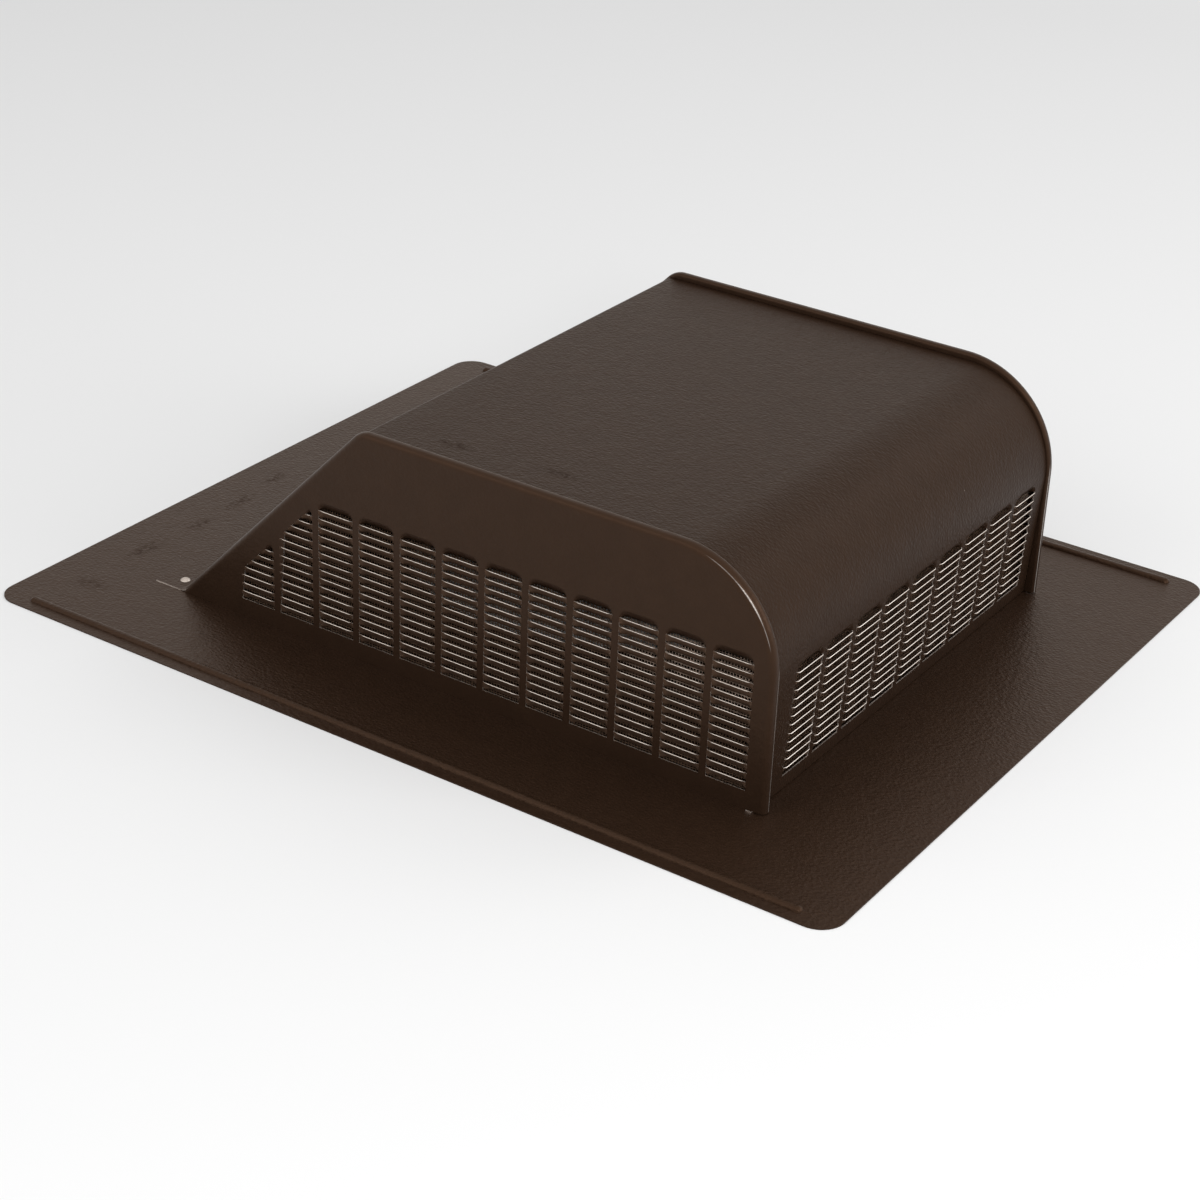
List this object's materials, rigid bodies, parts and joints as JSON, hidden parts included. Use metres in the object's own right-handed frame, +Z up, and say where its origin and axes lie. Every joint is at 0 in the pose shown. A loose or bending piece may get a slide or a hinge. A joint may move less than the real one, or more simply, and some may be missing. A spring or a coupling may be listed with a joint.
{
  "type": "slant back roof vent",
  "caption": "Painted sheet-metal slant back roof vent: louvred hood with folded seams on a flat flashing with a round throat and an insect screen.",
  "frame": {"origin": "middle of the flashing's underside, on the throat's axis", "axes": "+Z up from the roof deck, +Y up the roof slope towards the slanted back, -Y towards the louvred front, +X across the slope"},
  "size_m": [0.374, 0.457, 0.115],
  "materials": {
    "paint": "semi-gloss dark brown paint",
    "bare": "mill finish"
  },
  "bodies": {
    "root": {"base_flashing": "paint", "hood_sheet": "paint", "side_panel_left": "paint", "side_panel_right": "paint", "insect_screen": "bare", "rivets": "bare"}
  },
  "joints": []
}
